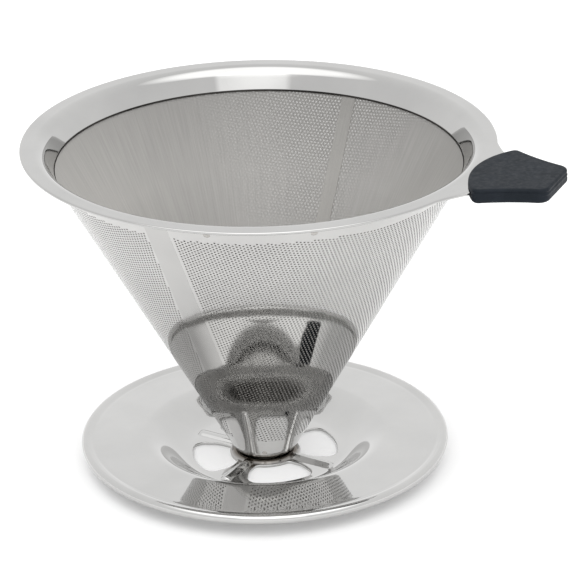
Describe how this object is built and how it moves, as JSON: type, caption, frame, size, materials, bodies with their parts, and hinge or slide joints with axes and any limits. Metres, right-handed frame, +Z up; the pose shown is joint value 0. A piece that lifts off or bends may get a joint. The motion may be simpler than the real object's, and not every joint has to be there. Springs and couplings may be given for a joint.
{
  "type": "pour over dripper",
  "caption": "Reusable coffee filter: a perforated steel cone lined with woven mesh, with a flanged rim and a silicone grip on its tab, in a saucer-shaped stand that sits on a mug.",
  "frame": {"origin": "on the cone's axis, on the flat underside of the stand's well, which the assembly rests on", "axes": "+Z up along the cone's axis, +X along the tab and its grip, +Y to the left of the grip seen from above"},
  "size_m": [0.1454, 0.125, 0.0929],
  "materials": {
    "polished_steel": "mirror polished",
    "perforated_steel": "polished, perforated all over",
    "woven_mesh": "fine woven wire",
    "drawn_steel": "satin",
    "weld_marks": "small bright dimples",
    "silicone": "matte moulded silicone"
  },
  "bodies": {
    "stand": {"stand_plate": "polished_steel", "hub_socket": "drawn_steel"},
    "filter": {"rim_ring": "polished_steel", "outer_cone": "perforated_steel", "inner_mesh": "woven_mesh", "tip_cap": "drawn_steel", "rim_welds": "weld_marks", "tip_welds": "weld_marks"},
    "grip": {"grip": "silicone"}
  },
  "joints": [
    {"name": "filter_lift", "type": "slide", "parent": "stand", "child": "filter", "axis": [0, 0, 1], "range_m": [0, 0.12]},
    {"name": "grip_pull", "type": "slide", "parent": "filter", "child": "grip", "axis": [1, 0, 0], "range_m": [0, 0.03]}
  ]
}
